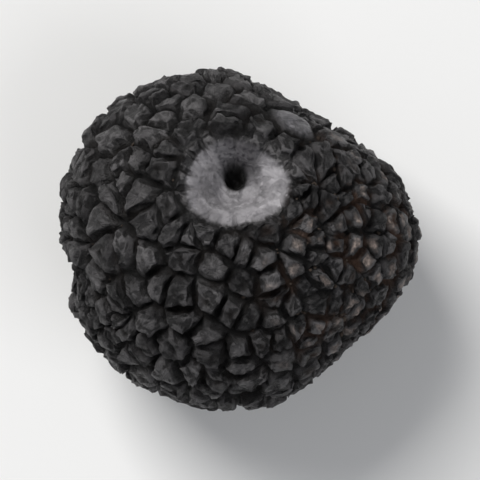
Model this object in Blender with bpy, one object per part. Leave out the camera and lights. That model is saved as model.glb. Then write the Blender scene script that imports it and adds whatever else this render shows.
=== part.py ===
"""Black truffle: one whole fruiting body, lying on a small flat spot.

It grew as one piece, so it is one solid: a round, faintly lobed body with two furrows, a bowl-shaped
pit with a small deep hole in it on top, and many-sided warts all over, parted by V-shaped grooves.
Metres, +Z up. The origin is on the surface that the truffle lies on, under the middle of its box.
"""

import math
import random
from dataclasses import dataclass

import bmesh
import bpy
from mathutils import Matrix, Vector

MM = 0.001

# Body: half its width, depth and height at the bottom of the grooves between the warts.
HALF_WIDTH = 14.5 * MM
HALF_DEPTH = 14.4 * MM
HALF_HEIGHT = 13.7 * MM

# Flat spot: how far it is cut into the underside, and the angles from straight down, in degrees,
# between which the warts grow from low and worn to full height.
FLAT_SPOT_CUT = 0.24 * MM
BASE_WARTS_GROW = (16.0, 38.0)
BASE_WART_SHARE = 0.25

# Warts: how many, how far they stand out of the grooves, and how they are shaped.
WART_COUNT = 400
WART_HEIGHT = 0.95 * MM
WART_HEIGHT_SPREAD = 0.22
WART_EDGE_SPREAD = 0.10
WART_APEX_RISE = (-0.14 * MM, 0.34 * MM)
WART_APEX_DRIFT = 0.35
FLANK_SHARE = 0.34
BROKEN_SHARE = 0.035
BROKEN_HEIGHT = 0.35 * MM
SHORTEST_EDGE = 0.42 * MM
FINE_WART_SIZE = 0.72
FINE_WARTS_WITHIN = (25.0, 75.0)
TRIES_PER_WART = 6
WART_SEED = 41

# Pit: a bowl on top with a low rim, and a deep hole in it. Both are tipped towards one side from
# straight up, the hole farther, so that it lies off the bowl's middle. Angles are in degrees.
# The walls, the rim and the warts round the pit start and end at shares of its radius or the hole's.
PIT_AZIMUTH = 89.0
PIT_TILT = 19.5
HOLE_TILT = 27.0
PIT_RADIUS = 4.6 * MM
PIT_DEPTH = 3.3 * MM
PIT_WALL = (0.24, 1.0)
PIT_WOBBLE = 0.05
RIM_RISE = 0.42 * MM
RIM_PLACE = 1.12
RIM_WIDTH = 0.18
HOLE_RADIUS = 1.2 * MM
HOLE_DEPTH = 1.6 * MM
HOLE_WALL = (0.2, 1.3)
WARTS_GROW_FROM_PIT = (0.95, 1.15)

# Lining: a ring of smooth cells round the hole and one inside the pit's edge, as radius and count,
# how many cells are spread between them, and how far past the edge ring the warts begin.
HOLE_RING = (1.05 * MM, 6)
EDGE_RING = (3.8 * MM, 18)
LINING_COUNT = 22
TRIES_PER_LINING_CELL = 30
LINING_MARGIN = 1.4 * MM

# Plate: one broad, smooth, worn wart between the pit and the edge. A few small warts part it from
# the pit, at a distance from the pit's middle and at turns, in degrees, to both sides of the plate.
PLATE_RADIUS = 2.5 * MM
PLATE_HEIGHT = 0.75 * MM
COLLAR_RADIUS = 5.3 * MM
COLLAR_TURNS = (-46.0, -16.0, 13.0, 44.0)

SKIN_COLOUR = (0.016, 0.015, 0.016, 1.0)
SKIN_ROUGHNESS = 0.62


def direction(azimuth, elevation):
    """Unit vector at an azimuth from +X towards +Y and an elevation above the XY plane, in degrees."""
    turn = math.radians(azimuth)
    rise = math.radians(elevation)
    return Vector((math.cos(turn) * math.cos(rise), math.sin(turn) * math.cos(rise), math.sin(rise)))


@dataclass(frozen=True)
class Lobe:
    """A soft swelling of the body, or a flat where its height is negative. Width is in degrees."""

    azimuth: float
    elevation: float
    height: float
    width: float

    def rise(self, towards):
        off = math.degrees(towards.angle(direction(self.azimuth, self.elevation)))
        return self.height * math.exp(-((off / self.width) ** 2))


@dataclass(frozen=True)
class Furrow:
    """A crease along a great circle through a middle point, heading at a bearing from straight up."""

    azimuth: float
    elevation: float
    bearing: float
    depth: float
    width: float
    length: float

    def rise(self, towards):
        middle = direction(self.azimuth, self.elevation)
        east = Vector((0, 0, 1)).cross(middle).normalized()
        north = middle.cross(east)
        turn = math.radians(self.bearing)
        along = north * math.cos(turn) + east * math.sin(turn)
        across = middle.cross(along)
        if towards.dot(middle) <= 0:
            return 0.0
        off = math.degrees(math.asin(max(-1.0, min(1.0, towards.dot(across)))))
        far = math.degrees(math.atan2(towards.dot(along), towards.dot(middle)))
        return -self.depth * math.exp(-((off / self.width) ** 2) - (far / self.length) ** 2)


LOBES = (
    Lobe(azimuth=146, elevation=2, height=0.9 * MM, width=32),
    Lobe(azimuth=356, elevation=-4, height=1.4 * MM, width=28),
    Lobe(azimuth=58, elevation=4, height=-2.9 * MM, width=26),
    Lobe(azimuth=312, elevation=2, height=-1.1 * MM, width=26),
    Lobe(azimuth=222, elevation=-24, height=1.1 * MM, width=30),
    Lobe(azimuth=275, elevation=24, height=0.8 * MM, width=28),
    Lobe(azimuth=40, elevation=-42, height=1.1 * MM, width=24),
    Lobe(azimuth=100, elevation=-30, height=-0.7 * MM, width=22),
)
FURROWS = (
    Furrow(azimuth=184, elevation=-14, bearing=24, depth=1.5 * MM, width=7, length=34),
    Furrow(azimuth=328, elevation=-34, bearing=-62, depth=1.7 * MM, width=8, length=30),
)
STRAIGHT_DOWN = Vector((0, 0, -1))
PIT_AXIS = direction(PIT_AZIMUTH, 90.0 - PIT_TILT)
PIT_SIDE = direction(PIT_AZIMUTH - 90.0, 0.0)
HOLE_AXIS = direction(PIT_AZIMUTH, 90.0 - HOLE_TILT)
PLATE_AXIS = direction(63, 38)
FINE_WARTS_TOWARDS = direction(-8, 30)


def smooth_step(value, low, high):
    """0 below low and 1 above high, with an even slope at both ends."""
    share = max(0.0, min(1.0, (value - low) / (high - low)))
    return share * share * (3.0 - 2.0 * share)


def pit_wobble(towards):
    """How many times farther a direction counts as lying from the pit. The pit is widest at its sides."""
    turn = math.atan2(towards.dot(PIT_AXIS.cross(PIT_SIDE)), towards.dot(PIT_SIDE))
    return 1.0 - PIT_WOBBLE * math.cos(2.0 * turn) - PIT_WOBBLE * math.cos(3.0 * turn + 0.8)


def pit_distance(towards):
    """Distance along the skin from the middle of the pit, wobble included."""
    return towards.angle(PIT_AXIS) * HALF_WIDTH * pit_wobble(towards)


def pit_rise(towards):
    """How far the pit moves the skin: a bowl with a deep hole in it, and a low rim round it."""
    off = pit_distance(towards)
    if off > 2.0 * PIT_RADIUS:
        return 0.0
    bowl = -PIT_DEPTH * (1.0 - smooth_step(off / PIT_RADIUS, *PIT_WALL))
    from_hole = towards.angle(HOLE_AXIS) * HALF_WIDTH
    hole = -HOLE_DEPTH * (1.0 - smooth_step(from_hole / HOLE_RADIUS, *HOLE_WALL))
    rim = RIM_RISE * math.exp(-(((off / PIT_RADIUS - RIM_PLACE) / RIM_WIDTH) ** 2))
    return bowl + hole + rim


def groove_radius(towards):
    """Distance from the body's middle to the bottom of the grooves, in a direction."""
    flattened = Vector((towards.x / HALF_WIDTH, towards.y / HALF_DEPTH, towards.z / HALF_HEIGHT))
    swellings = sum(form.rise(towards) for form in LOBES + FURROWS)
    return 1.0 / flattened.length + swellings + pit_rise(towards)


def random_direction(rng):
    """A direction drawn evenly over the ball."""
    height = rng.uniform(-1.0, 1.0)
    turn = rng.uniform(0.0, math.tau)
    flat = math.sqrt(1.0 - height * height)
    return Vector((flat * math.cos(turn), flat * math.sin(turn), height))


def step_from(middle, side, turn, distance):
    """Direction at a distance along the skin from a middle, at a turn in radians from a side."""
    outward = Matrix.Rotation(turn, 3, middle) @ side
    return Matrix.Rotation(distance / HALF_WIDTH, 3, middle.cross(outward)) @ middle


def nearest_gap(place, seeds):
    """Squared distance from a direction to the nearest seed, both on the unit ball."""
    return min((place - seed).length_squared for seed in seeds)


def lining_seeds(rng):
    """Middles of the smooth cells in the pit: the hole's, a ring round it, an edge ring, then the rest."""
    seeds = [HOLE_AXIS.copy()]
    ring_radius, count = HOLE_RING
    for step in range(count):
        seeds.append(step_from(HOLE_AXIS, PIT_SIDE, math.tau * step / count, ring_radius))
    edge_radius, count = EDGE_RING
    for step in range(count):
        turn = math.tau * step / count
        wobble = pit_wobble(step_from(PIT_AXIS, PIT_SIDE, turn, edge_radius))
        seeds.append(step_from(PIT_AXIS, PIT_SIDE, turn, edge_radius / wobble))
    for _ in range(LINING_COUNT):
        tries = []
        for _ in range(TRIES_PER_LINING_CELL):
            distance = edge_radius * math.sqrt(rng.random())
            tries.append(step_from(PIT_AXIS, PIT_SIDE, rng.uniform(0.0, math.tau), distance))
        seeds.append(max(tries, key=lambda place: nearest_gap(place, seeds)))
    return seeds


def collar_seeds():
    """Middles of the small warts between the pit and the plate."""
    to_plate = PLATE_AXIS - PIT_AXIS * PLATE_AXIS.dot(PIT_AXIS)
    return [step_from(PIT_AXIS, to_plate, math.radians(turn), COLLAR_RADIUS) for turn in COLLAR_TURNS]


def wart_size(towards):
    """Width of the warts in a direction, as a share of the widest: they are finer on one side."""
    off = math.degrees(towards.angle(FINE_WARTS_TOWARDS))
    return FINE_WART_SIZE + (1.0 - FINE_WART_SIZE) * smooth_step(off, *FINE_WARTS_WITHIN)


def wart_seeds(rng):
    """Middles of all cells. Each new wart takes the roomiest of a few random places."""
    seeds = lining_seeds(rng) + collar_seeds()
    seeds.append(PLATE_AXIS)
    lined = EDGE_RING[0] + LINING_MARGIN
    plate_clearance = 2.0 * PLATE_RADIUS / HALF_WIDTH

    def room(towards):
        if pit_distance(towards) < lined or towards.angle(PLATE_AXIS) < plate_clearance:
            return 0.0
        return nearest_gap(towards, seeds) / wart_size(towards) ** 2

    for _ in range(WART_COUNT):
        tries = [random_direction(rng) for _ in range(TRIES_PER_WART)]
        seeds.append(max(tries, key=room))
    return seeds


def cells_round(seeds):
    """Net of many-sided cells on the unit ball, one round each seed: the seeds' hull turned inside out."""
    hull = bmesh.new()
    for seed in seeds:
        hull.verts.new(seed)
    bmesh.ops.convex_hull(hull, input=hull.verts)
    hull.normal_update()
    net = bmesh.new()
    corners = {face: net.verts.new(face.normal) for face in hull.faces}
    for seed in hull.verts:
        side = seed.co.orthogonal().normalized()
        up = seed.co.cross(side)
        around = sorted(seed.link_faces, key=lambda f: math.atan2(f.normal.dot(up), f.normal.dot(side)))
        net.faces.new([corners[face] for face in around])
    hull.free()
    bmesh.ops.remove_doubles(net, verts=net.verts, dist=SHORTEST_EDGE / HALF_WIDTH)
    net.normal_update()
    return net


def wart_height(middle, rng):
    """How far the wart in this direction stands out of its grooves. A few have broken off."""
    height = WART_HEIGHT * rng.uniform(1.0 - WART_HEIGHT_SPREAD, 1.0 + WART_HEIGHT_SPREAD)
    if rng.random() < BROKEN_SHARE:
        height = BROKEN_HEIGHT
    if middle.angle(PLATE_AXIS) * HALF_WIDTH < PLATE_RADIUS:
        return PLATE_HEIGHT
    past_pit = smooth_step(pit_distance(middle) / PIT_RADIUS, *WARTS_GROW_FROM_PIT)
    off_base = math.degrees(middle.angle(STRAIGHT_DOWN))
    past_base = BASE_WART_SHARE + (1.0 - BASE_WART_SHARE) * smooth_step(off_base, *BASE_WARTS_GROW)
    return height * past_pit * past_base * wart_size(middle)


def raise_warts(net, rng):
    """Turns each cell into a wart: sloping flanks, a smaller uneven top, and a low apex or a dish on it."""
    relief = net.verts.layers.float.new("relief")
    for cell in list(net.faces):
        middle = cell.calc_center_median().normalized()
        height = wart_height(middle, rng)
        top = bmesh.ops.extrude_discrete_faces(net, faces=[cell])["faces"][0]
        for corner in top.verts:
            corner.co = corner.co.lerp(middle, FLANK_SHARE)
            corner[relief] = height * rng.uniform(1.0 - WART_EDGE_SPREAD, 1.0 + WART_EDGE_SPREAD)
        leaning_to = rng.choice(list(top.verts)).co.copy()
        apex = bmesh.ops.poke(net, faces=[top])["verts"][0]
        apex.co = apex.co.lerp(leaning_to, rng.uniform(0.0, WART_APEX_DRIFT))
        apex[relief] = height + rng.uniform(*WART_APEX_RISE) * height / WART_HEIGHT
    for vertex in net.verts:
        towards = vertex.co.normalized()
        vertex.co = towards * (groove_radius(towards) + vertex[relief])


def cut_flat_spot(net):
    """Cuts the underside level, to the flat spot that the truffle lies on, and closes the cut."""
    level = STRAIGHT_DOWN * (HALF_HEIGHT - FLAT_SPOT_CUT)
    everything = list(net.verts) + list(net.edges) + list(net.faces)
    bmesh.ops.bisect_plane(net, geom=everything, plane_co=level, plane_no=STRAIGHT_DOWN, clear_outer=True)
    rim = [edge for edge in net.edges if edge.is_boundary]
    bmesh.ops.holes_fill(net, edges=rim, sides=0)


def centre_on_origin(net):
    """Moves the body so that its box stands on z = 0 with its middle over the origin."""
    low = Vector([min(vertex.co[axis] for vertex in net.verts) for axis in range(3)])
    high = Vector([max(vertex.co[axis] for vertex in net.verts) for axis in range(3)])
    shift = Vector((-(low.x + high.x) / 2, -(low.y + high.y) / 2, -low.z))
    bmesh.ops.translate(net, verts=net.verts, vec=shift)


def skin_material():
    """Near-black, matt, horny skin."""
    material = bpy.data.materials.new("truffle_skin")
    material.use_nodes = True
    shader = material.node_tree.nodes["Principled BSDF"]
    shader.inputs["Base Color"].default_value = SKIN_COLOUR
    shader.inputs["Roughness"].default_value = SKIN_ROUGHNESS
    shader.inputs["Metallic"].default_value = 0.0
    material.diffuse_color = SKIN_COLOUR
    return material


def build_truffle():
    """The whole truffle as one closed solid."""
    rng = random.Random(WART_SEED)
    net = cells_round(wart_seeds(rng))
    raise_warts(net, rng)
    cut_flat_spot(net)
    centre_on_origin(net)
    bmesh.ops.recalc_face_normals(net, faces=net.faces)
    mesh = bpy.data.meshes.new("truffle")
    net.to_mesh(mesh)
    net.free()
    mesh.materials.append(skin_material())
    truffle = bpy.data.objects.new("truffle", mesh)
    bpy.context.scene.collection.objects.link(truffle)
    return truffle


def main():
    for leftover in list(bpy.data.objects):
        bpy.data.objects.remove(leftover)
    build_truffle()


if __name__ == "__main__":
    main()
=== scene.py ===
"""Looks of a black truffle: its warty skin, the soil left in its grooves, a pale floor and soft light.

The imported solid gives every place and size. The skin is a finer copy of that solid, worn and cracked as a
grown thing is. Sizes are in metres unless a name says otherwise, and angles are in degrees.
"""

import logging
import math
import random
from dataclasses import dataclass, field
from enum import Enum

import bmesh
import bpy
import numpy as np
from mathutils import Euler, Matrix, Vector


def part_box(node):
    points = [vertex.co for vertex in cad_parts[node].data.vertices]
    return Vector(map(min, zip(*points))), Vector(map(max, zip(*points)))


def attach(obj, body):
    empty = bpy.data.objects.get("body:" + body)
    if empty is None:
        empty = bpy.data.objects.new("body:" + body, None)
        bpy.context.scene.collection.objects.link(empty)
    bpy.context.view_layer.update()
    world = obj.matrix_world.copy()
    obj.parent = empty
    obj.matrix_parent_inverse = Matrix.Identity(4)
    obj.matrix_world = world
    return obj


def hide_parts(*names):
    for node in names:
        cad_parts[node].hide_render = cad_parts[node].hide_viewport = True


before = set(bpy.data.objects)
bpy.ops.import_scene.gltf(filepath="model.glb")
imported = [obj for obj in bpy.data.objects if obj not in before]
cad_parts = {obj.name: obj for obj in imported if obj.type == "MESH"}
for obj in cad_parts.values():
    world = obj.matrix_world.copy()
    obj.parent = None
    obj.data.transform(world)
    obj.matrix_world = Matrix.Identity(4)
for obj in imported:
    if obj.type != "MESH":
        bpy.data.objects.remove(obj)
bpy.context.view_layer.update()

MM = 0.001
NODE = "truffle"
BODY = "root"

# Each face's offset from the middle of its own wart, in this unit.
WART_MAP = "from_wart_middle"
WART_MAP_UNIT = 4.0 * MM

Colour = tuple[float, float, float, float]
Span = tuple[float, float]

log = logging.getLogger("truffle")


class Mark(Enum):
    """What is marked on the skin's points, each as an attribute between 0 and 1."""

    WART_TOP = "wart_top"
    WART_MIDDLE = "wart_middle"
    WART_TONE = "wart_tone"
    # Hollows, into which the skin's finish paints shade.
    HOLLOW = "hollow"
    EDGE = "edge"
    PIT = "pit"
    # The pit's floor, where the skin's finish paints shade.
    PIT_FLOOR = "pit_floor"
    # The pit's hole, which the skin's finish fills with painted shade.
    HOLE = "hole"
    PLATE = "plate"
    FINE_SIDE = "fine_side"


class Push(Enum):
    """Which way a ripple moves the skin."""

    IN_AND_OUT = "NORMAL"
    SIDEWAYS = "RGB_TO_XYZ"


class Pattern(Enum):
    """The texture that a ripple follows."""

    CLOUDS = "CLOUDS"
    CRACKS = "VORONOI"


def direction(azimuth: float, elevation: float) -> Vector:
    """Unit vector at an azimuth from +X towards +Y and an elevation above the floor.

    Args:
        azimuth: turn from +X towards +Y, in degrees.
        elevation: rise above the floor, in degrees.

    Returns:
        The unit vector.
    """
    turn = math.radians(azimuth)
    rise = math.radians(elevation)
    return Vector((math.cos(turn) * math.cos(rise), math.sin(turn) * math.cos(rise), math.sin(rise)))


def smooth_step(value: np.ndarray, low: float, high: float) -> np.ndarray:
    """Rises evenly from 0 at low to 1 at high.

    Args:
        value: the values to map.
        low: where the step starts.
        high: where the step ends.

    Returns:
        The mapped values.
    """
    share = np.clip((value - low) / (high - low), 0.0, 1.0)
    return share * share * (3.0 - 2.0 * share)


def take_up(piece: bpy.types.Object) -> None:
    """Selects one piece alone and makes it the active one.

    Args:
        piece: the piece to work on.
    """
    bpy.ops.object.select_all(action="DESELECT")
    piece.select_set(True)
    bpy.context.view_layer.objects.active = piece


def apply_modifier(piece: bpy.types.Object, kind: str, **settings: object) -> None:
    """Adds one modifier to a piece and applies it.

    Args:
        piece: the piece to shape.
        kind: Blender's name for the modifier.
        **settings: the modifier's own values.
    """
    take_up(piece)
    modifier = piece.modifiers.new(kind.lower(), kind)
    for name, value in settings.items():
        setattr(modifier, name, value)
    bpy.ops.object.modifier_apply(modifier=modifier.name)


def points_of(mesh: bpy.types.Mesh, value: str = "co") -> np.ndarray:
    """Reads where a mesh's points lie, or which way they face.

    Args:
        mesh: the mesh to read.
        value: "co" for the places or "normal" for the normals.

    Returns:
        A row of x, y and z for each point.
    """
    rows = np.empty(len(mesh.vertices) * 3)
    mesh.vertices.foreach_get(value, rows)
    return rows.reshape(-1, 3)


def write_mark(mesh: bpy.types.Mesh, mark: Mark, values: np.ndarray) -> None:
    """Stores one value for each point.

    Args:
        mesh: the mesh to mark.
        mark: which mark.
        values: one value for each point.
    """
    layer = mesh.attributes.get(mark.value) or mesh.attributes.new(mark.value, "FLOAT", "POINT")
    layer.data.foreach_set("value", np.asarray(values, dtype=np.float32))


def read_mark(mesh: bpy.types.Mesh, mark: Mark) -> np.ndarray:
    """Reads one mark.

    Args:
        mesh: the mesh to read.
        mark: which mark.

    Returns:
        One value for each point.
    """
    values = np.empty(len(mesh.vertices))
    mesh.attributes[mark.value].data.foreach_get("value", values)
    return values


def relaxed(mesh: bpy.types.Mesh, rounds: int) -> np.ndarray:
    """Where the points would lie if each moved to the middle of its neighbours, several times over.

    Args:
        mesh: the mesh to relax.
        rounds: how many times.

    Returns:
        The relaxed points. The mesh stays as it is.
    """
    ends = np.empty(len(mesh.edges) * 2, dtype=np.int64)
    mesh.edges.foreach_get("vertices", ends)
    first, second = ends.reshape(-1, 2).T
    count = len(mesh.vertices)
    neighbours = np.bincount(first, minlength=count) + np.bincount(second, minlength=count)
    places = points_of(mesh)
    for _ in range(rounds):
        for axis in range(3):
            column = places[:, axis]
            total = np.bincount(first, column[second], count) + np.bincount(second, column[first], count)
            places[:, axis] = total / neighbours
    return places


class NodeBench:
    """Adds nodes to one tree and joins them. A pattern's fineness is its repeats for each metre."""

    streak_shift: float = 40.0
    streak_detail: float = 2.0

    def __init__(self, tree: bpy.types.NodeTree) -> None:
        """Keeps the tree.

        Args:
            tree: the node tree to work in.
        """
        self.tree = tree

    def add(self, kind: str, **settings: object) -> bpy.types.Node:
        """Adds a node and sets its own values.

        Args:
            kind: Blender's name for the node.
            **settings: the node's own values.

        Returns:
            The node.
        """
        node = self.tree.nodes.new(kind)
        for name, value in settings.items():
            setattr(node, name, value)
        return node

    def feed(self, target: bpy.types.NodeSocket, source: object) -> None:
        """Joins a socket to a socket, or sets it to a plain value.

        Args:
            target: the input to feed.
            source: a socket or a plain value.
        """
        if isinstance(source, bpy.types.NodeSocket):
            self.tree.links.new(source, target)
        else:
            target.default_value = source

    def mark(self, mark: Mark) -> bpy.types.NodeSocket:
        """Reads one of the skin's marks."""
        return self.add("ShaderNodeAttribute", attribute_name=mark.value).outputs["Fac"]

    def place(self) -> bpy.types.NodeSocket:
        """Place on the piece, in metres."""
        return self.add("ShaderNodeTexCoord").outputs["Object"]

    def sum(self, operation: str, first: object, second: object = 0.0) -> bpy.types.NodeSocket:
        """One sum of two values, such as ADD or MULTIPLY, kept between 0 and 1.

        Args:
            operation: Blender's name for the sum.
            first: a socket or a number.
            second: a socket or a number.

        Returns:
            The result's socket.
        """
        node = self.add("ShaderNodeMath", operation=operation, use_clamp=True)
        self.feed(node.inputs[0], first)
        self.feed(node.inputs[1], second)
        return node.outputs[0]

    def step(self, value: object, low: float, high: float) -> bpy.types.NodeSocket:
        """Maps a value to 0 at low and 1 at high, with a soft start and end.

        Args:
            value: a socket or a number.
            low: where the step starts.
            high: where the step ends.

        Returns:
            The result's socket.
        """
        node = self.add("ShaderNodeMapRange", interpolation_type="SMOOTHSTEP")
        self.feed(node.inputs["Value"], value)
        node.inputs["From Min"].default_value = low
        node.inputs["From Max"].default_value = high
        return node.outputs["Result"]

    def between(self, share: object, low: float, high: float) -> bpy.types.NodeSocket:
        """A number that goes from low to high as a share goes from 0 to 1.

        Args:
            share: a socket or a number.
            low: the number where the share is 0.
            high: the number where the share is 1.

        Returns:
            The result's socket.
        """
        node = self.add("ShaderNodeMapRange")
        self.feed(node.inputs["Value"], share)
        node.inputs["To Min"].default_value = low
        node.inputs["To Max"].default_value = high
        return node.outputs["Result"]

    def mix(self, share: object, under: object, over: object) -> bpy.types.NodeSocket:
        """Lays one colour over another where the share is 1.

        Args:
            share: a socket or a number between 0 and 1.
            under: the colour where the share is 0.
            over: the colour where the share is 1.

        Returns:
            The mixed colour's socket.
        """
        node = self.add("ShaderNodeMix", data_type="RGBA")
        self.feed(node.inputs["Factor"], share)
        self.feed(node.inputs[6], under)
        self.feed(node.inputs[7], over)
        return node.outputs[2]

    def dappled(self, share: object, patches: object, off: float, on: float) -> bpy.types.NodeSocket:
        """Weakens a share by patches.

        Args:
            share: a socket or a number.
            patches: a socket that is 1 on the patches.
            off: what the share is multiplied by off the patches.
            on: what it is multiplied by on them.

        Returns:
            The result's socket.
        """
        return self.sum("MULTIPLY", share, self.between(patches, off, on))

    def streaks(self, fineness: float) -> bpy.types.NodeSocket:
        """Streaks that run from each wart's middle down its sides, other ones on each wart.

        Args:
            fineness: how close together the streaks lie.

        Returns:
            A value between 0 and 1 that changes round the wart and not along its slope.
        """
        about = self.add("ShaderNodeVectorMath", operation="NORMALIZE")
        self.feed(about.inputs[0], self.add("ShaderNodeUVMap", uv_map=WART_MAP).outputs["UV"])
        lift = self.add("ShaderNodeCombineXYZ")
        self.feed(lift.inputs["Z"], self.between(self.mark(Mark.WART_TONE), 0.0, self.streak_shift))
        spot = self.add("ShaderNodeVectorMath", operation="ADD")
        self.feed(spot.inputs[0], about.outputs["Vector"])
        self.feed(spot.inputs[1], lift.outputs["Vector"])
        noise = self.add("ShaderNodeTexNoise")
        self.feed(noise.inputs["Vector"], spot.outputs["Vector"])
        noise.inputs["Scale"].default_value = fineness
        noise.inputs["Detail"].default_value = self.streak_detail
        return noise.outputs["Fac"]

    def group(self, tree: bpy.types.NodeTree, **values: object) -> bpy.types.Node:
        """Places a node group.

        Args:
            tree: the group.
            **values: its inputs, whose names start with a small letter here.

        Returns:
            The group's node.
        """
        node = self.add("ShaderNodeGroup", node_tree=tree)
        for name, value in values.items():
            self.feed(node.inputs[name.capitalize()], value)
        return node

    def bump(self, height: object, distance: float, strength: float, below: object = None) -> object:
        """A bump of a real depth.

        Args:
            height: the height between 0 and 1.
            distance: how deep the full height is, in metres.
            strength: how much of it shows.
            below: the normal of a bump that this one lies on.

        Returns:
            The normal's socket.
        """
        node = self.add("ShaderNodeBump")
        node.inputs["Strength"].default_value = strength
        node.inputs["Distance"].default_value = distance
        self.feed(node.inputs["Height"], height)
        if below is not None:
            self.feed(node.inputs["Normal"], below)
        return node.outputs["Normal"]


def new_group(name: str, inputs: dict[str, float], output: str) -> bpy.types.NodeTree:
    """An empty shader node group with named number sockets.

    Args:
        name: the group's name.
        inputs: each input's name and usual value.
        output: the output's name.

    Returns:
        The group.
    """
    tree = bpy.data.node_groups.new(name, "ShaderNodeTree")
    for label, value in inputs.items():
        tree.interface.new_socket(label, in_out="INPUT", socket_type="NodeSocketFloat").default_value = value
    tree.interface.new_socket(output, in_out="OUTPUT", socket_type="NodeSocketFloat")
    return tree


class Effects:
    """Effects that several finishes use, each a node group built once."""

    noise_detail: float = 4.0
    height_between_grains: float = 0.4

    def __init__(self) -> None:
        """Builds the groups."""
        self.grain = self.build_grain()
        self.mottle = self.build_mottle()

    def build_grain(self) -> bpy.types.NodeTree:
        """Fine granular height, such as dry skin or soil has.

        Returns:
            A group with the height of the grain at a fineness, which is marks for each metre.
        """
        tree = new_group("grain", {"Fineness": 4000.0, "Roughness": 0.6}, "Height")
        bench = NodeBench(tree)
        given = bench.add("NodeGroupInput")
        noise = bench.add("ShaderNodeTexNoise")
        noise.inputs["Detail"].default_value = self.noise_detail
        bench.feed(noise.inputs["Vector"], bench.place())
        bench.feed(noise.inputs["Scale"], given.outputs["Fineness"])
        bench.feed(noise.inputs["Roughness"], given.outputs["Roughness"])
        grains = bench.add("ShaderNodeTexVoronoi", feature="F1")
        bench.feed(grains.inputs["Vector"], bench.place())
        bench.feed(grains.inputs["Scale"], given.outputs["Fineness"])
        domes = bench.between(grains.outputs["Distance"], 1.0, self.height_between_grains)
        height = bench.sum("MULTIPLY", noise.outputs["Fac"], domes)
        bench.feed(bench.add("NodeGroupOutput").inputs["Height"], height)
        return tree

    def build_mottle(self) -> bpy.types.NodeTree:
        """Soft patches.

        Returns:
            A group with a mask of patches at a fineness, over a threshold, with an edge of a softness.
        """
        inputs = {"Fineness": 500.0, "Threshold": 0.5, "Softness": 0.1}
        tree = new_group("mottle", inputs, "Mask")
        bench = NodeBench(tree)
        given = bench.add("NodeGroupInput")
        noise = bench.add("ShaderNodeTexNoise")
        noise.inputs["Detail"].default_value = self.noise_detail
        bench.feed(noise.inputs["Vector"], bench.place())
        bench.feed(noise.inputs["Scale"], given.outputs["Fineness"])
        low = bench.sum("SUBTRACT", given.outputs["Threshold"], given.outputs["Softness"])
        high = bench.sum("ADD", given.outputs["Threshold"], given.outputs["Softness"])
        patches = bench.add("ShaderNodeMapRange", interpolation_type="SMOOTHSTEP")
        bench.feed(patches.inputs["Value"], noise.outputs["Fac"])
        bench.feed(patches.inputs["From Min"], low)
        bench.feed(patches.inputs["From Max"], high)
        bench.feed(bench.add("NodeGroupOutput").inputs["Mask"], patches.outputs["Result"])
        return tree


def new_material(name: str, roughness: float) -> tuple[bpy.types.Material, NodeBench, bpy.types.Node]:
    """A material with a plain shader.

    Args:
        name: the material's name.
        roughness: the shader's roughness, until a node feeds it.

    Returns:
        The material, a bench for its nodes, and its shader.
    """
    material = bpy.data.materials.new(name)
    material.use_nodes = True
    shader = material.node_tree.nodes["Principled BSDF"]
    shader.inputs["Roughness"].default_value = roughness
    return material, NodeBench(material.node_tree), shader


@dataclass(frozen=True)
class SkinNodes:
    """What the skin's finish is made from: its marks and three kinds of soft patches, from 0 to 1."""

    bench: NodeBench
    marks: dict[Mark, bpy.types.NodeSocket]
    patches: bpy.types.NodeSocket
    flecks: bpy.types.NodeSocket
    stains: bpy.types.NodeSocket


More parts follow.
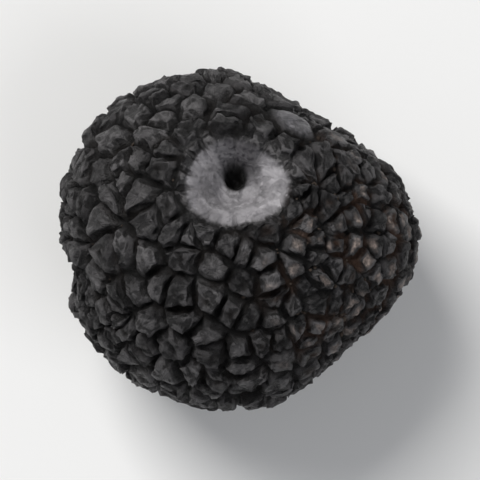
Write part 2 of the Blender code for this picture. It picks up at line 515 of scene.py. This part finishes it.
@dataclass(frozen=True)
class HornySkin:
    """Finish of the skin: near-black horn, greyer on the tops, with rusty grooves and a pale pit.

    Painted shade darkens the grooves' hollows, the pit's floor and its hole. The pit's pale lining is
    partly a painted highlight and the plate's grey partly a painted reflection. A span gives two ends: of
    a mark where a colour comes or goes, or of what comes out of it.
    """

    horn: Colour = (0.0095, 0.0090, 0.0095, 1.0)
    charcoal: Colour = (0.036, 0.0345, 0.035, 1.0)
    worn: Colour = (0.140, 0.134, 0.138, 1.0)
    # The grooves' own near-black, also used as painted shade in the hollows and in the pit's hole.
    groove_and_painted_shade: Colour = (0.0025, 0.0022, 0.0021, 1.0)
    rust: Colour = (0.078, 0.042, 0.027, 1.0)
    speck: Colour = (0.480, 0.385, 0.335, 1.0)
    # The pit's pale lining: partly its smooth grey skin, partly a painted highlight of its lit wall.
    lining: Colour = (0.340, 0.328, 0.343, 1.0)
    lining_grey: Colour = (0.150, 0.145, 0.153, 1.0)
    # Painted shade on the pit's floor: a darker copy of the lining.
    lining_painted_shade: Colour = (0.034, 0.032, 0.036, 1.0)
    # The plate's grey: partly a smooth, worn wart, partly a painted reflection.
    plate: Colour = (0.170, 0.165, 0.178, 1.0)
    shine: float = 0.25
    roughness: Span = (0.40, 0.85)
    dull_grooves: float = 0.6
    dull_flecks: float = 0.4
    smooth_gloss: float = 0.4
    tone_share: float = 0.65
    worn_power: float = 0.8
    worn_tones: Span = (0.15, 0.95)
    worn_edges: Span = (0.60, 0.95)
    groove_tops: Span = (0.0, 0.65)
    # Where the hollow mark brings painted shade.
    painted_shade_hollows: Span = (0.50, 0.75)
    groove_and_shade_cover: float = 0.92
    speck_middles: Span = (0.10, 0.70)
    speck_tones: Span = (0.25, 0.60)
    rusty_tops: Span = (0.25, 0.95)
    rust_by_side: Span = (0.04, 0.8)
    lined: Span = (0.25, 0.70)
    bare_and_reflection: Span = (0.35, 0.85)
    plate_smoothness: float = 0.6
    smooth_skin_bumps: float = 0.3
    streak_fineness: float = 6.0
    streak_depth: float = 0.40 * MM
    grain_fineness: float = 3600.0
    grain_depth: float = 0.24 * MM

    def build(self, effects: Effects) -> bpy.types.Material:
        """Makes the material.

        Args:
            effects: the shared node groups.

        Returns:
            The material.
        """
        material, bench, shader = new_material("horny_skin", roughness=0.5)
        shader.inputs["Specular IOR Level"].default_value = self.shine
        marks = {mark: bench.mark(mark) for mark in Mark}
        mottle = effects.mottle
        nodes = SkinNodes(
            bench=bench,
            marks=marks,
            patches=bench.group(mottle, fineness=420.0, threshold=0.50, softness=0.14).outputs["Mask"],
            flecks=bench.group(mottle, fineness=2600.0, threshold=0.56, softness=0.08).outputs["Mask"],
            stains=bench.group(mottle, fineness=300.0, threshold=0.53, softness=0.10).outputs["Mask"],
        )
        # The groove colour covers the low skin between warts, and as painted shade the hollows.
        high = bench.step(marks[Mark.WART_TOP], *self.groove_tops)
        deep = bench.sum("SUBTRACT", 1.0, high)
        deep = bench.sum("MAXIMUM", deep, bench.step(marks[Mark.HOLLOW], *self.painted_shade_hollows))
        colour = self.colour_warts(nodes)
        colour = bench.mix(bench.sum("MULTIPLY", deep, self.groove_and_shade_cover), colour, self.groove_and_painted_shade)
        colour = self.colour_fine_side(nodes, colour)
        colour = self.colour_pit_and_plate(nodes, colour)
        bench.feed(shader.inputs["Base Color"], colour)

        plate = bench.sum("MULTIPLY", marks[Mark.PLATE], self.plate_smoothness)
        smooth = bench.sum("MAXIMUM", marks[Mark.PIT], plate)
        dull = bench.sum("MULTIPLY", deep, self.dull_grooves)
        dull = bench.sum("ADD", dull, bench.sum("MULTIPLY", nodes.flecks, self.dull_flecks))
        dull = bench.sum("SUBTRACT", dull, bench.sum("MULTIPLY", smooth, self.smooth_gloss))
        bench.feed(shader.inputs["Roughness"], bench.between(dull, *self.roughness))
        bench.feed(shader.inputs["Normal"], self.bumps(bench, effects, smooth))
        return material

    def colour_warts(self, nodes: SkinNodes) -> bpy.types.NodeSocket:
        """Colours the warts: each of its own tone, greyer in the middle of its top and on worn edges.

        Args:
            nodes: the marks and soft patches.

        Returns:
            The colour.
        """
        bench, marks = nodes.bench, nodes.marks
        tone = marks[Mark.WART_TONE]
        own = bench.sum("MULTIPLY", tone, self.tone_share)
        patchy = bench.sum("MULTIPLY", nodes.patches, 1.0 - self.tone_share)
        colour = bench.mix(bench.sum("ADD", own, patchy), self.horn, self.charcoal)
        middle = bench.sum("POWER", marks[Mark.WART_MIDDLE], self.worn_power)
        grey = bench.sum("MULTIPLY", middle, bench.step(tone, *self.worn_tones))
        colour = bench.mix(bench.dappled(grey, nodes.flecks, off=0.55, on=1.0), colour, self.worn)
        wear = bench.step(marks[Mark.EDGE], *self.worn_edges)
        return bench.mix(bench.dappled(wear, nodes.patches, off=0.10, on=0.55), colour, self.worn)

    def colour_fine_side(self, nodes: SkinNodes, colour: bpy.types.NodeSocket) -> bpy.types.NodeSocket:
        """Adds pale tops and rusty grooves, mostly on the side with fine warts.

        Args:
            nodes: the marks and soft patches.
            colour: the colour so far.

        Returns:
            The new colour.
        """
        bench, marks = nodes.bench, nodes.marks
        fine_side = marks[Mark.FINE_SIDE]
        pale = bench.step(marks[Mark.WART_MIDDLE], *self.speck_middles)
        pale = bench.sum("MULTIPLY", pale, bench.step(marks[Mark.WART_TONE], *self.speck_tones))
        pale = bench.dappled(pale, nodes.flecks, off=0.35, on=0.95)
        colour = bench.mix(bench.sum("MULTIPLY", pale, fine_side), colour, self.speck)
        low = bench.sum("SUBTRACT", 1.0, bench.step(marks[Mark.WART_TOP], *self.rusty_tops))
        rusty = bench.sum("MULTIPLY", low, nodes.stains)
        return bench.mix(bench.dappled(rusty, fine_side, *self.rust_by_side), colour, self.rust)

    def colour_pit_and_plate(self, nodes: SkinNodes, colour: bpy.types.NodeSocket) -> bpy.types.NodeSocket:
        """Adds the pit's pale lining, partly a painted highlight, with painted shade on its floor,
        its ragged edge, the plate, partly a painted reflection, and painted shade in the hole.

        Args:
            nodes: the marks and soft patches.
            colour: the colour so far.

        Returns:
            The new colour.
        """
        bench, marks = nodes.bench, nodes.marks
        # The pale lining is partly a painted highlight.
        greyer = bench.dappled(nodes.patches, nodes.flecks, off=0.5, on=1.0)
        lining = bench.mix(greyer, self.lining, self.lining_grey)
        # Painted shade on the pit's floor.
        shadowy = bench.dappled(marks[Mark.PIT_FLOOR], nodes.flecks, off=0.80, on=1.0)
        lining = bench.mix(shadowy, lining, self.lining_painted_shade)
        ragged = bench.between(nodes.stains, low=0.75, high=1.0)
        ragged = bench.dappled(ragged, nodes.flecks, off=0.70, on=1.0)
        lined = bench.step(bench.sum("MULTIPLY", marks[Mark.PIT], ragged), *self.lined)
        colour = bench.mix(lined, colour, lining)
        # The plate's grey is partly a painted reflection.
        bare_and_reflection = bench.step(marks[Mark.PLATE], *self.bare_and_reflection)
        bare_and_reflection = bench.dappled(bare_and_reflection, nodes.patches, off=0.55, on=0.90)
        bare_and_reflection = bench.dappled(bare_and_reflection, nodes.flecks, off=0.45, on=1.0)
        colour = bench.mix(bare_and_reflection, colour, self.plate)
        # Painted shade in the pit's hole.
        return bench.mix(marks[Mark.HOLE], colour, self.groove_and_painted_shade)

    def bumps(self, bench: NodeBench, effects: Effects, smooth: bpy.types.NodeSocket) -> bpy.types.NodeSocket:
        """Streaks down the warts, and grain on them, both weaker in the pit and on the plate.

        Args:
            bench: where the nodes go.
            effects: the shared node groups.
            smooth: a socket that is 1 where the skin is smooth.

        Returns:
            The normal.
        """
        streaks = bench.streaks(self.streak_fineness)
        streaks = bench.dappled(streaks, smooth, off=1.0, on=self.smooth_skin_bumps)
        normal = bench.bump(streaks, distance=self.streak_depth, strength=0.8)
        grain = bench.group(effects.grain, fineness=self.grain_fineness, roughness=0.7).outputs["Height"]
        grain = bench.dappled(grain, smooth, off=1.0, on=self.smooth_skin_bumps)
        return bench.bump(grain, distance=self.grain_depth, strength=0.9, below=normal)


@dataclass(frozen=True)
class DrySoil:
    """Finish of the soil: dry, brown, crumbly."""

    dark: Colour = (0.024, 0.018, 0.014, 1.0)
    light: Colour = (0.075, 0.059, 0.048, 1.0)
    shine: float = 0.15

    def build(self, effects: Effects) -> bpy.types.Material:
        """Makes the material.

        Args:
            effects: the shared node groups.

        Returns:
            The material.
        """
        material, bench, shader = new_material("dry_soil", roughness=0.9)
        shader.inputs["Specular IOR Level"].default_value = self.shine
        patches = bench.group(effects.mottle, fineness=700.0, threshold=0.50, softness=0.15).outputs["Mask"]
        bench.feed(shader.inputs["Base Color"], bench.mix(patches, self.dark, self.light))
        grain = bench.group(effects.grain, fineness=9000.0, roughness=0.7).outputs["Height"]
        bench.feed(shader.inputs["Normal"], bench.bump(grain, distance=0.08 * MM, strength=0.8))
        return material


@dataclass(frozen=True)
class PaleFloor:
    """Finish of the floor: pale, matt and almost even."""

    pale: Colour = (0.78, 0.78, 0.775, 1.0)
    paler: Colour = (0.82, 0.82, 0.815, 1.0)

    def build(self, effects: Effects) -> bpy.types.Material:
        """Makes the material.

        Args:
            effects: the shared node groups.

        Returns:
            The material.
        """
        material, bench, shader = new_material("pale_floor", roughness=0.7)
        patches = bench.group(effects.mottle, fineness=12.0, threshold=0.5, softness=0.3).outputs["Mask"]
        bench.feed(shader.inputs["Base Color"], bench.mix(patches, self.pale, self.paler))
        grain = bench.group(effects.grain, fineness=1500.0, roughness=0.5).outputs["Height"]
        bench.feed(shader.inputs["Normal"], bench.bump(grain, distance=0.02 * MM, strength=0.2))
        return material


@dataclass(frozen=True)
class Ripple:
    """One layer of unevenness that is pressed into the skin."""

    name: str
    pattern: Pattern
    push: Push
    size: float
    depth: float
    crack_width: float = 0.13
    cloud_detail: int = 2

    def texture(self) -> bpy.types.Texture:
        """The texture that the ripple follows.

        Returns:
            Coloured clouds for a push sideways, plain clouds, or cracks that are narrow and dark.
        """
        texture = bpy.data.textures.new(self.name, self.pattern.value)
        texture.noise_scale = self.size
        if self.pattern is Pattern.CRACKS:
            texture.weight_1 = -1.0
            texture.weight_2 = 1.0
            texture.use_color_ramp = True
            texture.color_ramp.elements[0].color = (0.0, 0.0, 0.0, 1.0)
            texture.color_ramp.elements[1].color = (1.0, 1.0, 1.0, 1.0)
            texture.color_ramp.elements[1].position = self.crack_width
        else:
            texture.noise_depth = self.cloud_detail
            texture.cloud_type = "COLOR" if self.push is Push.SIDEWAYS else "GRAYSCALE"
        return texture

    def press(self, piece: bpy.types.Object, group: str) -> None:
        """Presses the ripple into a piece.

        Args:
            piece: the piece to shape.
            group: the vertex group that says how much each point may move.
        """
        unmoved = 1.0 if self.pattern is Pattern.CRACKS else 0.5
        apply_modifier(
            piece,
            "DISPLACE",
            texture=self.texture(),
            texture_coords="LOCAL",
            direction=self.push.value,
            mid_level=unmoved,
            strength=self.depth,
            vertex_group=group,
        )


def spread_round(offsets: np.ndarray, axis: Vector, side: Vector) -> np.ndarray:
    """Measures where points lie across an axis and along it.

    Args:
        offsets: the points, from a point on the axis.
        axis: the way that the axis points.
        side: a way square to the axis.

    Returns:
        Three rows: how far each point lies to the side, square to both, and along the axis.
    """
    return np.array([side, axis.cross(side), axis]) @ offsets.T


@dataclass
class Skin:
    """The truffle's whole skin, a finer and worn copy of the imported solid."""

    merge_distance: float = 0.002 * MM
    joined_face_angle: float = 35.0
    joined_corner_angle: float = 60.0
    crease_from_angle: float = 24.0
    crease: float = 0.8
    subdivisions: int = 2
    groove_tone: float = 0.5
    pit_azimuth: float = 89.0
    pit_elevation: float = 70.5
    pit_radius: float = 4.5 * MM
    pit_wobble: float = 0.05
    pit_wobble_turn: float = 0.8
    pit_edge: Span = (0.84, 1.10)
    # Where painted shade lies on the pit's floor, measured from the hole.
    pit_below_hole: float = 1.2 * MM
    pit_shade_from_hole: Span = (0.2 * MM, 1.5 * MM)
    pit_shade_size: Span = (3.5 * MM, 2.4 * MM)
    pit_shade_edge: Span = (0.35, 1.10)
    hole_elevation: float = 63.0
    hole_radius: float = 1.1 * MM
    hole_edge: Span = (0.7, 1.15)
    hole_least_rise: float = 0.5
    plate_azimuth: float = 63.0
    plate_elevation: float = 38.0
    fine_side_azimuth: float = -8.0
    fine_side_elevation: float = 30.0
    fine_side_within: Span = (22.0, 62.0)
    smoothing: float = 0.5
    smoothing_rounds: int = 10
    foot_heights: Span = (0.02 * MM, 0.7 * MM)
    plate_calm: float = 0.5
    calm_share: float = 0.7
    hollow_rounds: int = 60
    hollow_depths: Span = (-0.6 * MM, 0.8 * MM)
    edge_rounds: int = 3
    edge_heights: Span = (-0.04 * MM, 0.05 * MM)
    ripples: tuple[Ripple, ...] = (
        Ripple("bent_edges", Pattern.CLOUDS, Push.SIDEWAYS, 1.5 * MM, 0.55 * MM),
        Ripple("swells", Pattern.CLOUDS, Push.IN_AND_OUT, 3.2 * MM, 0.40 * MM),
        Ripple("lumps", Pattern.CLOUDS, Push.IN_AND_OUT, 0.9 * MM, 0.22 * MM),
        Ripple("cracks", Pattern.CRACKS, Push.IN_AND_OUT, 1.4 * MM, 0.24 * MM),
        Ripple("grits", Pattern.CLOUDS, Push.IN_AND_OUT, 0.45 * MM, 0.16 * MM),
    )
    tone_seed: int = 7
    middle: Vector = field(init=False)
    pit_bottom: np.ndarray = field(init=False)

    def build(self) -> bpy.types.Object:
        """Copies the solid, makes it finer, wears it and marks it.

        Returns:
            The skin.
        """
        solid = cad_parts[NODE]
        self.middle = sum(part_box(NODE), Vector()) / 2
        piece = bpy.data.objects.new("skin", solid.data.copy())
        bpy.context.scene.collection.objects.link(piece)
        piece.data.materials.clear()
        self.join_triangles(piece)
        self.mark_warts(piece.data)
        self.crease_edges(piece)
        levels = self.subdivisions
        apply_modifier(piece, "SUBSURF", levels=levels, render_levels=levels, boundary_smooth="ALL")
        self.find_pit(piece.data)
        self.mark_zones(piece.data)
        self.smooth_pit(piece)
        self.wear(piece)
        self.set_down(piece.data)
        self.mark_relief(piece.data)
        take_up(piece)
        bpy.ops.object.shade_smooth()
        return piece

    def join_triangles(self, piece: bpy.types.Object) -> None:
        """Joins the loose triangles to one closed surface, and pairs of them to four-sided faces.

        Args:
            piece: the skin, still as coarse as the solid.
        """
        take_up(piece)
        bpy.ops.object.mode_set(mode="EDIT")
        bpy.ops.mesh.select_all(action="SELECT")
        bpy.ops.mesh.remove_doubles(threshold=self.merge_distance)
        bpy.ops.mesh.tris_convert_to_quads(
            face_threshold=math.radians(self.joined_face_angle),
            shape_threshold=math.radians(self.joined_corner_angle),
        )
        bpy.ops.object.mode_set(mode="OBJECT")

    def mark_warts(self, mesh: bpy.types.Mesh) -> None:
        """Tells the warts' tops from the grooves, and gives each wart a tone of its own.

        Args:
            mesh: the skin before it is made finer, when a wart has one point in its middle.
        """
        net = bmesh.new()
        net.from_mesh(mesh)
        waiting = set()
        for point in net.verts:
            around = [edge.other_vert(point).co for edge in point.link_edges]
            mean = sum(around, Vector()) / len(around)
            if (mean - point.co).dot(point.normal) < 0.0:
                waiting.add(point)
        top = np.zeros(len(net.verts))
        middle = np.zeros(len(net.verts))
        tone = np.full(len(net.verts), self.groove_tone)
        summits = {}
        rng = random.Random(self.tone_seed)
        for start in net.verts:
            if start not in waiting:
                continue
            wart = self.flood(start, waiting)
            shade = rng.random()
            summit = self.middle_of(wart)
            middle[summit.index] = 1.0
            for point in wart:
                top[point.index] = 1.0
                tone[point.index] = shade
                summits[point] = summit
        plate = self.mark_plate(summits, len(net.verts))
        self.map_warts(net, summits)
        net.to_mesh(mesh)
        net.free()
        write_mark(mesh, Mark.PLATE, plate)
        write_mark(mesh, Mark.WART_TOP, top)
        write_mark(mesh, Mark.WART_MIDDLE, middle)
        write_mark(mesh, Mark.WART_TONE, tone)

    @staticmethod
    def middle_of(wart: set) -> bmesh.types.BMVert:
        """Picks the point with most neighbours on its wart, and of equal ones the most central.

        Args:
            wart: the wart's points.

        Returns:
            The point in its middle.
        """
        points = sorted(wart, key=lambda point: point.index)
        centre = sum((point.co for point in points), Vector()) / len(points)

        def rank(point: bmesh.types.BMVert) -> tuple[int, float]:
            beside = sum(edge.other_vert(point) in wart for edge in point.link_edges)
            return beside, -(point.co - centre).length

        return max(points, key=rank)

    def mark_plate(self, summits: dict, count: int) -> np.ndarray:
        """Picks the wart that is the smooth plate, whose middle lies nearest the plate's direction.

        Args:
            summits: the middle of its wart for each raised point.
            count: how many points the skin has.

        Returns:
            1 for the plate's points and 0 for the others.
        """
        towards = direction(self.plate_azimuth, self.plate_elevation)
        nearest = min(summits.values(), key=lambda point: (point.co - self.middle).angle(towards))
        plate = np.zeros(count)
        for point, summit in summits.items():
            if summit is nearest:
                plate[point.index] = 1.0
        return plate

    @staticmethod
    def map_warts(net: bmesh.types.BMesh, summits: dict) -> None:
        """Maps each face by its offset from the middle of its own wart, so that streaks can start there.

        Args:
            net: the skin as a net of faces.
            summits: the middle of its wart for each raised point.
        """
        flat_map = net.loops.layers.uv.new(WART_MAP)
        for face in net.faces:
            summit = next((summits[point] for point in face.verts if point in summits), None)
            if summit is None:
                continue
            side = summit.normal.orthogonal().normalized()
            up = summit.normal.cross(side)
            for corner in face.loops:
                offset = (corner.vert.co - summit.co) / WART_MAP_UNIT
                corner[flat_map].uv = (offset.dot(side), offset.dot(up))

    @staticmethod
    def flood(start: bmesh.types.BMVert, waiting: set) -> set:
        """Takes one wart's points out of those that wait.

        Args:
            start: any point of the wart.
            waiting: the raised points that no wart has yet.

        Returns:
            The wart's points.
        """
        wart = set()
        fresh = [start]
        waiting.discard(start)
        while fresh:
            point = fresh.pop()
            wart.add(point)
            for edge in point.link_edges:
                other = edge.other_vert(point)
                if other in waiting:
                    waiting.discard(other)
                    fresh.append(other)
        return wart

    def crease_edges(self, piece: bpy.types.Object) -> None:
        """Keeps the warts' sharper edges from being rounded away.

        Args:
            piece: the skin, before it is made finer.
        """
        take_up(piece)
        bpy.ops.object.mode_set(mode="EDIT")
        bpy.ops.mesh.select_mode(type="EDGE")
        bpy.ops.mesh.select_all(action="DESELECT")
        bpy.ops.mesh.edges_select_sharp(sharpness=math.radians(self.crease_from_angle))
        bpy.ops.transform.edge_crease(value=self.crease)
        bpy.ops.object.mode_set(mode="OBJECT")

    def find_pit(self, mesh: bpy.types.Mesh) -> None:
        """Finds the bottom of the hole in the pit, the point nearest the middle on the upper side.

        Args:
            mesh: the skin's mesh.
        """
        places = points_of(mesh)
        offsets = places - np.array(self.middle)
        far = np.linalg.norm(offsets, axis=1)
        far[offsets[:, 2] < self.hole_least_rise * far] = np.inf
        self.pit_bottom = places[int(np.argmin(far))]

    def mark_zones(self, mesh: bpy.types.Mesh) -> None:
        """Marks the pit, the painted shade on its floor, its hole and the side with fine warts.

        Args:
            mesh: the skin's mesh.
        """
        places = points_of(mesh)
        from_bottom = places - self.pit_bottom
        side = direction(self.pit_azimuth - 90.0, 0.0)
        right, up, above = spread_round(from_bottom, direction(self.pit_azimuth, self.hole_elevation), side)
        upper = np.where(above > -self.hole_radius, 1.0, 0.0)
        off_hole = np.hypot(right, up) / self.hole_radius
        write_mark(mesh, Mark.HOLE, upper * (1.0 - smooth_step(off_hole, *self.hole_edge)))
        # The pit's floor, which gets painted shade.
        shade_right = (right - self.pit_shade_from_hole[0]) / self.pit_shade_size[0]
        shade_up = (up - self.pit_shade_from_hole[1]) / self.pit_shade_size[1]
        off_shade = np.hypot(shade_right, shade_up)
        write_mark(mesh, Mark.PIT_FLOOR, upper * (1.0 - smooth_step(off_shade, *self.pit_shade_edge)))
        right, up, _ = spread_round(from_bottom, direction(self.pit_azimuth, self.pit_elevation), side)
        up += self.pit_below_hole
        turn = np.arctan2(up, right)
        waves = np.cos(2.0 * turn) + np.cos(3.0 * turn + self.pit_wobble_turn)
        off_pit = np.hypot(right, up) * (1.0 - self.pit_wobble * waves) / self.pit_radius
        write_mark(mesh, Mark.PIT, upper * (1.0 - smooth_step(off_pit, *self.pit_edge)))
        offsets = places - np.array(self.middle)
        unit = offsets / np.linalg.norm(offsets, axis=1)[:, None]
        fine = np.array(direction(self.fine_side_azimuth, self.fine_side_elevation))
        off_fine = np.degrees(np.arccos(np.clip(unit @ fine, -1.0, 1.0)))
        write_mark(mesh, Mark.FINE_SIDE, 1.0 - smooth_step(off_fine, *self.fine_side_within))

    def smooth_pit(self, piece: bpy.types.Object) -> None:
        """Smooths the pit's lining and the plate.

        Args:
            piece: the skin.
        """
        mesh = piece.data
        worn = np.maximum(read_mark(mesh, Mark.PIT), read_mark(mesh, Mark.PLATE))
        self.weigh(piece, "smooth", worn)
        rounds = self.smoothing_rounds
        apply_modifier(piece, "SMOOTH", factor=self.smoothing, iterations=rounds, vertex_group="smooth")

    def wear(self, piece: bpy.types.Object) -> None:
        """Presses the ripples in, less in the pit and on the plate, and not at all on the flat spot.

        Args:
            piece: the skin.
        """
        mesh = piece.data
        calm = np.maximum(read_mark(mesh, Mark.PIT), self.plate_calm * read_mark(mesh, Mark.PLATE))
        off_foot = smooth_step(points_of(mesh)[:, 2], *self.foot_heights)
        self.weigh(piece, "free", off_foot * (1.0 - self.calm_share * calm))
        for ripple in self.ripples:
            ripple.press(piece, "free")

    @staticmethod
    def weigh(piece: bpy.types.Object, name: str, weights: np.ndarray) -> None:
        """Makes a vertex group.

        Args:
            piece: the piece that gets the group.
            name: the group's name.
            weights: one weight for each point.
        """
        group = piece.vertex_groups.new(name=name)
        for index, weight in enumerate(weights.tolist()):
            if weight > 0.0:
                group.add([index], weight, "REPLACE")

    @staticmethod
    def set_down(mesh: bpy.types.Mesh) -> None:
        """Keeps every point on or above the floor.

        Args:
            mesh: the skin's mesh.
        """
        places = points_of(mesh)
        places[:, 2] = np.maximum(places[:, 2], 0.0)
        mesh.vertices.foreach_set("co", places.ravel())
        mesh.update()

    def mark_relief(self, mesh: bpy.types.Mesh) -> None:
        """Marks hollows, from the skin round them, and worn edges, from what is close by.

        Args:
            mesh: the skin's mesh.
        """
        places = points_of(mesh)
        normals = points_of(mesh, "normal")
        broad = np.sum((places - relaxed(mesh, self.hollow_rounds)) * normals, axis=1)
        close = np.sum((places - relaxed(mesh, self.edge_rounds)) * normals, axis=1)
        write_mark(mesh, Mark.HOLLOW, smooth_step(-broad, *self.hollow_depths))
        write_mark(mesh, Mark.EDGE, smooth_step(close, *self.edge_heights))

    def dress(self, piece: bpy.types.Object, effects: Effects) -> None:
        """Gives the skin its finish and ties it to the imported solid.

        Args:
            piece: the skin.
            effects: the shared node groups.
        """
        piece.data.materials.append(HornySkin().build(effects))
        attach(piece, BODY)
        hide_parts(NODE)


@dataclass
class SoilCrumbs:
    """Small crumbs of dry soil that sit in the grooves."""

    count: int = 150
    smallest: float = 0.12 * MM
    largest: float = 0.34 * MM
    widths: Span = (0.5, 0.9)
    thicknesses: Span = (0.4, 0.75)
    lift: float = 0.25
    shapes: int = 4
    unevenness: float = 0.36
    highest_wart_top: float = 0.22
    highest_pit: float = 0.1
    lowest_place: float = 1.5 * MM
    coarse_side_share: float = 0.06
    seed: int = 23

    def build(self, skin: bpy.types.Object) -> bpy.types.Object:
        """Models a few crumbs and copies them into the grooves.

        Args:
            skin: the skin that the crumbs sit on.

        Returns:
            All crumbs as one piece.
        """
        rng = random.Random(self.seed)
        models = [self.model(step) for step in range(self.shapes)]
        crumbs = [self.copy_to(rng.choice(models), *spot, rng) for spot in self.spots(skin.data, rng)]
        for model in models:
            bpy.data.objects.remove(model)
        take_up(crumbs[0])
        for crumb in crumbs:
            crumb.select_set(True)
        bpy.ops.object.join()
        crumbs[0].name = "soil_crumbs"
        return crumbs[0]

    def model(self, step: int) -> bpy.types.Object:
        """One crumb of radius 1 at the origin, from a ball whose points are moved about.

        Args:
            step: which crumb, for its own shape.

        Returns:
            The crumb.
        """
        bpy.ops.object.select_all(action="DESELECT")
        bpy.ops.mesh.primitive_ico_sphere_add(subdivisions=1, radius=1.0)
        crumb = bpy.context.object
        bpy.ops.object.mode_set(mode="EDIT")
        bpy.ops.mesh.select_all(action="SELECT")
        bpy.ops.transform.vertex_random(offset=self.unevenness, seed=self.seed + step)
        bpy.ops.mesh.normals_make_consistent(inside=False)
        bpy.ops.object.mode_set(mode="OBJECT")
        return crumb

    def spots(self, mesh: bpy.types.Mesh, rng: random.Random) -> list[tuple[Vector, Vector]]:
        """Places in the grooves, more of them on the side with fine warts.

        Args:
            mesh: the skin's mesh.
            rng: the seeded draw.

        Returns:
            Each place with the skin's normal there.
        """
        places = points_of(mesh)
        normals = points_of(mesh, "normal")
        low = read_mark(mesh, Mark.WART_TOP) < self.highest_wart_top
        open_skin = (read_mark(mesh, Mark.PIT) < self.highest_pit) & (places[:, 2] > self.lowest_place)
        fine_side = read_mark(mesh, Mark.FINE_SIDE)
        grooves = np.flatnonzero(low & open_skin).tolist()
        chosen = []
        while len(chosen) < self.count:
            index = rng.choice(grooves)
            fine = fine_side[index]
            if rng.random() < self.coarse_side_share + (1.0 - self.coarse_side_share) * fine:
                chosen.append((Vector(places[index]), Vector(normals[index])))
        return chosen

    def copy_to(
        self, model: bpy.types.Object, place: Vector, normal: Vector, rng: random.Random
    ) -> bpy.types.Object:
        """A copy of a crumb, with its own mesh, sunk into the skin at a place.

        Args:
            model: the crumb to copy.
            place: the place on the skin.
            normal: the skin's normal there.
            rng: the seeded draw.

        Returns:
            The copy.
        """
        radius = rng.uniform(self.smallest, self.largest)
        width = radius * rng.uniform(*self.widths)
        thickness = radius * rng.uniform(*self.thicknesses)
        turn = Euler([rng.uniform(0.0, math.tau) for _ in range(3)])
        crumb = bpy.data.objects.new("crumb", model.data.copy())
        centre = place + normal * radius * self.lift
        crumb.data.transform(Matrix.LocRotScale(centre, turn, Vector((radius, width, thickness))))
        bpy.context.scene.collection.objects.link(crumb)
        return crumb

    def dress(self, piece: bpy.types.Object, effects: Effects) -> None:
        """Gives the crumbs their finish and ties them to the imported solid.

        Args:
            piece: the crumbs.
            effects: the shared node groups.
        """
        piece.data.materials.clear()
        piece.data.materials.append(DrySoil().build(effects))
        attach(piece, BODY)


@dataclass(frozen=True)
class SoftLight:
    """A square soft light that hangs round the truffle and faces it."""

    name: str
    azimuth: float
    elevation: float
    distance: float
    size: float
    power: float
    colour: tuple[float, float, float]

    def hang(self) -> None:
        """Adds the light to the scene."""
        place = direction(self.azimuth, self.elevation) * self.distance
        aim = (-place).to_track_quat("-Z", "Y").to_euler()
        bpy.ops.object.light_add(type="AREA", location=place, rotation=aim)
        light = bpy.context.object
        light.name = self.name
        light.data.size = self.size
        light.data.energy = self.power
        light.data.color = self.colour
        light.visible_camera = False


KEY_LIGHT = SoftLight(
    "key_light", azimuth=128.0, elevation=50.0, distance=0.6, size=0.30, power=3.6, colour=(1.0, 0.99, 0.97)
)
FILL_LIGHT = SoftLight(
    "fill_light", azimuth=-40.0, elevation=45.0, distance=0.7, size=0.50, power=1.6, colour=(0.97, 0.98, 1.0)
)


@dataclass
class Studio:
    """A pale floor, soft light from the upper left, and a camera that looks straight down."""

    floor_size: float = 1.2
    floor_drop: float = 0.01 * MM
    camera_azimuth: float = -90.0
    camera_elevation: float = 88.0
    camera_distance: float = 0.45
    frame_width: float = 0.043
    sensor_width: float = 36.0
    sees_between: Span = (0.01, 10.0)
    sky_colour: Colour = (0.93, 0.95, 1.0, 1.0)
    sky_strength: float = 0.22

    def build_floor(self, effects: Effects) -> None:
        """Lays the floor, a little below the flat spot that rests on it.

        Args:
            effects: the shared node groups.
        """
        bpy.ops.object.select_all(action="DESELECT")
        bpy.ops.mesh.primitive_plane_add(size=self.floor_size)
        floor = bpy.context.object
        floor.name = "floor"
        floor.data.transform(Matrix.Translation((0.0, 0.0, -self.floor_drop)))
        floor.data.materials.append(PaleFloor().build(effects))

    def build_lights(self) -> None:
        """Hangs a broad key light at the upper left and a weak fill at the lower right, under an even sky."""
        for light in (KEY_LIGHT, FILL_LIGHT):
            light.hang()
        world = bpy.data.worlds.new("sky")
        world.use_nodes = True
        background = world.node_tree.nodes["Background"]
        background.inputs["Color"].default_value = self.sky_colour
        background.inputs["Strength"].default_value = self.sky_strength
        bpy.context.scene.world = world
        bpy.context.scene.view_settings.view_transform = "Standard"

    def build_camera(self) -> None:
        """Sets up the camera, with +Y up in its picture."""
        target = sum(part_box(NODE), Vector()) / 2
        back = direction(self.camera_azimuth, self.camera_elevation)
        bpy.ops.object.camera_add(location=target + back * self.camera_distance)
        camera = bpy.context.object
        camera.name = "camera"
        camera.rotation_euler = (-back).to_track_quat("-Z", "Y").to_euler()
        camera.data.sensor_width = self.sensor_width
        camera.data.lens = self.sensor_width * self.camera_distance / self.frame_width
        camera.data.clip_start, camera.data.clip_end = self.sees_between
        bpy.context.scene.camera = camera


def main() -> None:
    """Builds the truffle's pieces and the studio in order, and reports each one."""
    logging.basicConfig(level=logging.INFO, format="%(message)s")
    effects = Effects()
    studio = Studio()
    studio.build_camera()
    skin_maker = Skin()
    skin = skin_maker.build()
    skin_maker.dress(skin, effects)
    log.info("skin: %d faces", len(skin.data.polygons))
    crumb_maker = SoilCrumbs()
    crumbs = crumb_maker.build(skin)
    crumb_maker.dress(crumbs, effects)
    log.info("soil crumbs: %d faces", len(crumbs.data.polygons))
    studio.build_floor(effects)
    studio.build_lights()
    log.info("floor, lights and camera are in place")


if __name__ == "__main__":
    main()
